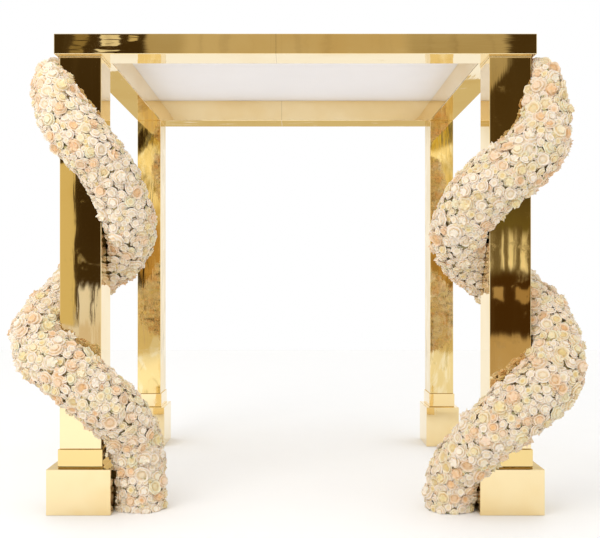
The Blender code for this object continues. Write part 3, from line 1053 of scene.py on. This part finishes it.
def pack_garland(hand, route, boxes, sizes):
    """The seats of one garland's roses, blossoms and leaves."""
    packed = Packing(route, boxes, sizes.closeness, random.Random(sizes.seed + route.side))
    step = (sizes.largest_rose - sizes.smallest_rose) / len(ROSE_TRIES)
    for k, tries in enumerate(ROSE_TRIES):
        top = sizes.largest_rose - step * k
        for kind in range(len(ROSES) * ROSE_COPIES):
            packed.add(kind, int(tries * ROSE_SHARE[hand]), (top - step, top), ROSE_SINKS, ROSE_TILT)
    roses = packed.take()
    for tries, radii, sinks, margin in BLOSSOM_PASSES:
        for kind in range(BLOSSOM_COPIES):
            radii_here = shares(sizes.blossom, radii)
            packed.add(kind, tries, radii_here, sinks, BLOSSOM_TILT, BLOSSOM_START, margin)
        packed.closeness = FILL_CLOSENESS
    blossoms = packed.take()
    packed.closeness = LEAF_CLOSENESS
    packed.add(0, LEAF_TRIES, shares(sizes.leaf, LEAF_SHARES), LEAF_SINKS, LEAF_TILT)
    return roses, blossoms, packed.take()


class CHUPPAH_OT_pack_flowers(bpy.types.Operator):
    """Pack roses, small blossoms and leaves over both garlands"""

    bl_idname = "chuppah.pack_flowers"
    bl_label = "Pack Flowers"

    def execute(self, context):
        sizes = context.scene.chuppah_garland
        colours = context.scene.chuppah_colours
        shaper = random.Random(sizes.seed)
        heads = [
            flower_head(f"{name}_{k}", shape, shaper)
            for name, shape in ROSES.items()
            for k in range(ROSE_COPIES)
        ]
        roses = kept_apart("model_roses", heads)
        florets = [flower_head(f"blossom_{k}", BLOSSOM, shaper) for k in range(BLOSSOM_COPIES)]
        blossoms = kept_apart("model_blossoms", florets)
        leaves = kept_apart("model_leaves", [leaf_blade("leaf")])
        rose_kinds = (
            (0.00, colours.white, colours.cream),
            (0.36, colours.cream, colours.yellow_heart),
            (0.62, colours.blush, colours.peach_heart),
            (0.84, colours.peach, colours.peach_heart),
            (0.93, colours.green_white, colours.yellow_heart),
        )
        blossom_kinds = (
            (0.00, colours.white, colours.cream),
            (0.62, colours.cream, colours.yellow_heart),
            (0.82, colours.blush, colours.peach_heart),
            (0.91, colours.green_white, colours.yellow_heart),
        )
        flowers = (
            ("roses", roses, ROSE_HEIGHT, petal_material("rose_silk", rose_kinds, veins=70.0)),
            ("blossoms", blossoms, 1.0, petal_material("blossom_silk", blossom_kinds, veins=120.0)),
            ("leaves", leaves, 1.0, leaf_material(colours.leaf)),
        )
        for hand, side in HANDS:
            route = Route(hand, side)
            boxes = boxes_to_clear(hand)
            packed = pack_garland(hand, route, boxes, sizes)
            for stretch in GARLAND_STRETCHES:
                for (kind, models, height, silk), seats in zip(flowers, packed):
                    here = [seat for seat in seats if route.stretch(seat.along) == stretch]
                    if here:
                        piece = seat_flowers(f"{kind}_{hand}_{stretch}", here, models, height, silk, boxes)
                        settle(piece, "flowers", f"garland_{hand}_{stretch}")
        for collection in (roses, blossoms, leaves):
            throw_away(collection)
        return {"FINISHED"}


# What the gold reflects, as colours at elevations in degrees. The hall behind the viewer has a pale middle,
# duller columns beside it and dark wings, over a brown floor. The backdrop behind the canopy is white below
# a dim ceiling.
HALL_MIDDLE = (
    (-6.0, (0.70, 0.58, 0.42)), (-2.7, (0.66, 0.54, 0.38)), (-2.4, (0.45, 0.34, 0.18)),
    (0.0, (0.50, 0.38, 0.20)), (0.5, (0.92, 0.88, 0.76)), (10.6, (0.92, 0.88, 0.76)),
    (12.8, (0.57, 0.45, 0.25)), (20.0, (0.55, 0.43, 0.24)), (30.0, (0.95, 0.92, 0.86)),
)
HALL_COLUMN = (
    (-6.0, (0.80, 0.69, 0.45)), (-2.8, (0.78, 0.66, 0.42)), (-2.5, (0.10, 0.06, 0.02)),
    (-0.7, (0.14, 0.08, 0.03)), (-0.4, (0.55, 0.33, 0.10)), (3.2, (0.50, 0.30, 0.10)),
    (4.2, (0.76, 0.62, 0.30)), (9.0, (0.70, 0.57, 0.27)), (11.0, (0.40, 0.30, 0.14)),
    (20.0, (0.52, 0.42, 0.24)), (30.0, (0.95, 0.92, 0.86)),
)
LEFT_WING = (
    (-6.0, (0.72, 0.60, 0.46)), (-2.8, (0.69, 0.57, 0.43)), (-2.5, (0.80, 0.74, 0.68)),
    (-0.5, (0.82, 0.76, 0.68)), (-0.3, (0.05, 0.028, 0.008)), (8.0, (0.042, 0.023, 0.006)),
    (15.5, (0.055, 0.032, 0.009)), (22.0, (0.10, 0.07, 0.03)), (30.0, (0.80, 0.75, 0.66)),
)
RIGHT_WING = (
    (-6.0, (0.52, 0.36, 0.17)), (-3.5, (0.50, 0.34, 0.15)), (-3.2, (0.056, 0.024, 0.004)),
    (0.5, (0.062, 0.027, 0.005)), (0.8, (0.98, 0.86, 0.56)), (2.6, (0.72, 0.60, 0.34)),
    (3.2, (0.15, 0.11, 0.025)), (5.5, (0.085, 0.052, 0.014)), (15.5, (0.060, 0.034, 0.009)),
    (22.0, (0.10, 0.07, 0.03)), (30.0, (0.80, 0.75, 0.66)),
)
BACKDROP = (
    (-16.0, (0.62, 0.48, 0.22)), (-8.9, (0.66, 0.52, 0.25)), (-8.3, (1.02, 1.01, 0.99)),
    (8.0, (1.02, 1.00, 0.97)), (11.0, (0.70, 0.60, 0.40)), (20.0, (0.64, 0.54, 0.34)),
    (30.0, (1.00, 0.98, 0.95)),
)
# Lit windows and other bright shapes in the wings: azimuth, elevation, half width, half height and colour
PANES = (
    (-11.6, 14.30, 0.55, 0.60, (0.80, 0.72, 0.52)), (-13.1, 14.20, 0.22, 0.30, (0.26, 0.18, 0.06)),
    (-10.1, 14.45, 0.25, 0.22, (0.60, 0.48, 0.24)), (-14.50, 2.10, 0.97, 4.90, (0.69, 0.535, 0.235)),
    (-9.00, 10.40, 0.90, 0.65, (0.09, 0.065, 0.015)), (-9.50, 8.60, 0.35, 0.80, (0.15, 0.12, 0.06)),
    (-8.70, 8.50, 0.35, 0.60, (0.62, 0.42, 0.07)), (-9.10, 7.10, 0.80, 0.45, (1.20, 1.08, 0.74)),
    (-9.00, 5.70, 0.50, 0.35, (0.38, 0.28, 0.06)), (9.00, 10.40, 0.90, 0.50, (0.24, 0.19, 0.03)),
    (9.45, 9.30, 0.35, 0.70, (0.18, 0.16, 0.10)), (8.60, 9.20, 0.40, 0.70, (0.75, 0.54, 0.05)),
    (9.00, 7.80, 0.80, 0.60, (1.25, 1.15, 0.86)), (9.00, 6.30, 0.70, 0.40, (1.00, 0.84, 0.44)),
    (12.45, -0.85, 0.28, 0.33, (0.42, 0.28, 0.12)), (13.85, -0.85, 0.42, 0.33, (0.38, 0.24, 0.09)),
)
LOWEST, HIGHEST = -16.0, 30.0
# Painted over the hall: pale marbling on the columns, dark bars in the right wing, and dull streaks
MARBLE, BARS, STREAKS = (1.15, 1.04, 0.80), (0.12, 0.08, 0.025), (0.16, 0.10, 0.04)
# Where the left wing's lower edge drips most, and the posts to the sides of the canopy: an azimuth, half a
# width and a softness in degrees
DRIPS = ((-13.5, 0.22, 0.10), (-12.35, 0.15, 0.10))
SIDE_POSTS = ((46.0, 4.0, 2.0), (78.0, 7.0, 3.0), (112.0, 5.0, 2.5))


def hall_seen(graph, way, azimuth, elevation):
    """The colour of the hall in a direction, whose azimuth and elevation are in degrees."""
    height = (elevation - LOWEST) / (HIGHEST - LOWEST)

    def profile(stops, shift=0.0):
        placed = [((degrees - LOWEST) / (HIGHEST - LOWEST), color) for degrees, color in stops]
        return graph.ramp(height + shift, placed)

    sides = abs(azimuth)
    hall = graph.mix(graph.range(sides, 6.4, 7.4), profile(HALL_MIDDLE), profile(HALL_COLUMN))
    marble = graph.noise(graph.scaled(way, (9.0, 9.0, 26.0)), 1.0, 3.0, 0.6)
    marbled = graph.band(elevation, 6.6, 2.0, 1.6) * graph.range(marble, 0.46, 0.60)
    hall = graph.mix(marbled * graph.range(sides, 6.8, 7.6) * 0.95, hall, MARBLE)
    dripping = sum(graph.band(azimuth, *place) for place in DRIPS) * 2.2 + 0.25
    drip = graph.range(graph.stripes(azimuth, 5.5, 2.0), 0.44, 0.54) * dripping / (HIGHEST - LOWEST)
    outward = graph.range(elevation, 10.5, 13.0)
    left = graph.range(azimuth - outward * 0.8, -9.9, -10.3)
    right = graph.range(azimuth - outward * 1.6, 11.2, 11.7)
    hall = graph.mix(left, hall, profile(LEFT_WING, drip))
    hall = graph.mix(right, hall, profile(RIGHT_WING, drip * 0.4))
    for across, up, half_width, half_height, color in PANES:
        lit = graph.band(azimuth, across, half_width, 0.06) * graph.band(elevation, up, half_height, 0.10)
        hall = graph.mix(lit, hall, color)
    bars = graph.range(graph.stripes(azimuth, 2.4, 2.0), 0.45, 0.52)
    barred = graph.band(elevation, 1.8, 1.2, 0.6) * bars * graph.range(azimuth, 11.0, 11.6)
    hall = graph.mix(barred * 0.95, hall, BARS)
    streaked = graph.range(graph.stripes(azimuth, 0.8, 4.0), 0.52, 0.72)
    hall = graph.mix(streaked * 0.22, hall, STREAKS)
    posts = graph.clamped(sum(graph.band(sides, *post) for post in SIDE_POSTS))
    around = graph.mix(posts * 0.9, profile(BACKDROP), profile(LEFT_WING))
    return graph.mix(graph.range(sides, 20.0, 34.0), hall, around)


def room_light(world, settings):
    """White for the eye, an even soft light on matt things, and in the gold the hall round the viewer."""
    graph = Graph(world)
    way = graph.node("TexCoord", {}, {}, 0)
    way = graph.node("VectorMath", {"operation": "NORMALIZE"}, {0: way})
    in_degrees = 180.0 / math.pi
    azimuth = graph.math("ARCTAN2", way[0], way[1] * -1.0) * in_degrees
    elevation = graph.math("ARCSINE", way[2]) * in_degrees
    rough = graph.noise(graph.scaled(way, (26.0, 26.0, 26.0)), 1.0, 3.0, 0.6)
    rougher = graph.noise(graph.scaled(way, (90.0, 90.0, 14.0)), 1.0, 2.0)
    azimuth = azimuth + (rough - 0.5) * 0.5
    elevation = elevation + (rougher - 0.5) * graph.range(elevation, 9.0, 12.0, 1.2, 0.1)
    seen = hall_seen(graph, way, azimuth, elevation)
    path = graph.node("LightPath").socket.node
    camera_ray = Value(graph, path.outputs["Is Camera Ray"])
    glossy_ray = Value(graph, path.outputs["Is Glossy Ray"])
    light = graph.mix(glossy_ray, (settings.dome, settings.dome, settings.dome), seen)
    light = graph.mix(camera_ray, light, (1.0, 1.0, 1.0))
    background = graph.node("Background", {}, {"Color": light, "Strength": 1.0})
    graph.node("OutputWorld", {}, {"Surface": background})


LAMP_PLACE, LAMP_AIM, LAMP_WIDTH = Vector((-2.8, -4.8, 4.6)), Vector((0.0, 0.0, 1.2)), 4.0
FLOOR_GREYS = (0.925, 0.925, 0.925), (0.94, 0.94, 0.94)
# The floor lies this far under the bases, so that the two never share a plane
FLOOR_DROP = 0.0005


class CHUPPAH_OT_set_stage(bpy.types.Operator):
    """Set the camera, the pale floor and the soft light"""

    bl_idname = "chuppah.set_stage"
    bl_label = "Set Stage"

    def execute(self, context):
        scene = context.scene
        settings = scene.chuppah_stage
        deselect_all()
        bpy.ops.mesh.primitive_plane_add(size=2 * settings.floor_reach, location=(0.0, 0.0, -FLOOR_DROP))
        floor = context.object
        floor.name = "studio_floor"
        for point in floor.data.vertices:
            point.co.y = min(max(point.co.y, -settings.floor_front), settings.floor_back)
        bpy.ops.object.transform_apply(location=True, rotation=False, scale=True)
        material, graph = new_material("pale_floor")
        grain = graph.noise(graph.object_place(), 3.0, 3.0, 0.5)
        graph.surface(Base_Color=graph.mix(grain, *FLOOR_GREYS), Roughness=0.6)
        floor.data.materials.append(material)
        bpy.ops.object.camera_add(
            location=(0.0, POST_LOW.y - settings.camera_distance, settings.camera_height),
            rotation=(math.radians(90.0), 0.0, 0.0),
        )
        camera = context.object
        camera.data.lens = settings.lens
        camera.data.shift_x = settings.shift_x
        camera.data.shift_y = settings.shift_y
        camera.data.clip_end = 200.0
        scene.camera = camera
        bpy.ops.object.light_add(type="AREA", location=LAMP_PLACE)
        lamp = context.object
        lamp.data.shape = "DISK"
        lamp.data.size = LAMP_WIDTH
        lamp.data.energy = settings.key
        lamp.visible_glossy = False
        lamp.rotation_euler = (LAMP_AIM - LAMP_PLACE).to_track_quat("-Z", "Y").to_euler()
        world = bpy.data.worlds.new("soft_studio")
        scene.world = world
        room_light(world, settings)
        scene.view_settings.view_transform = "Standard"
        scene.view_settings.look = "None"
        return {"FINISHED"}


class CHUPPAH_PT_finishes(bpy.types.Panel):
    """The sidebar panel that lists every step"""

    bl_label = "Chuppah Canopy"
    bl_idname = "CHUPPAH_PT_finishes"
    bl_space_type = "VIEW_3D"
    bl_region_type = "UI"
    bl_category = "Chuppah"

    def draw(self, context):
        layout = self.layout
        for step in STEPS:
            layout.operator(step.bl_idname)
        for name in SETTINGS:
            group = getattr(context.scene, name)
            box = layout.box()
            for prop in group.bl_rna.properties:
                if prop.identifier not in ("rna_type", "name"):
                    box.prop(group, prop.identifier)


SETTINGS = {
    "chuppah_gold": GoldFinish,
    "chuppah_cloth": ClothFinish,
    "chuppah_garland": GarlandSizes,
    "chuppah_colours": FlowerColours,
    "chuppah_stage": StageSettings,
}
STEPS = (
    CHUPPAH_OT_set_stage,
    CHUPPAH_OT_finish_bases,
    CHUPPAH_OT_finish_posts,
    CHUPPAH_OT_finish_beams,
    CHUPPAH_OT_stretch_cloth,
    CHUPPAH_OT_wind_cores,
    CHUPPAH_OT_pack_flowers,
)


def register():
    for group in SETTINGS.values():
        bpy.utils.register_class(group)
    for name, group in SETTINGS.items():
        setattr(bpy.types.Scene, name, PointerProperty(type=group))
    for step in STEPS:
        bpy.utils.register_class(step)
    bpy.utils.register_class(CHUPPAH_PT_finishes)


def unregister():
    bpy.utils.unregister_class(CHUPPAH_PT_finishes)
    for step in reversed(STEPS):
        bpy.utils.unregister_class(step)
    for name, group in SETTINGS.items():
        delattr(bpy.types.Scene, name)
        bpy.utils.unregister_class(group)


def main():
    register()
    for step in STEPS:
        group, name = step.bl_idname.split(".")
        getattr(getattr(bpy.ops, group), name)()


if __name__ == "__main__":
    main()
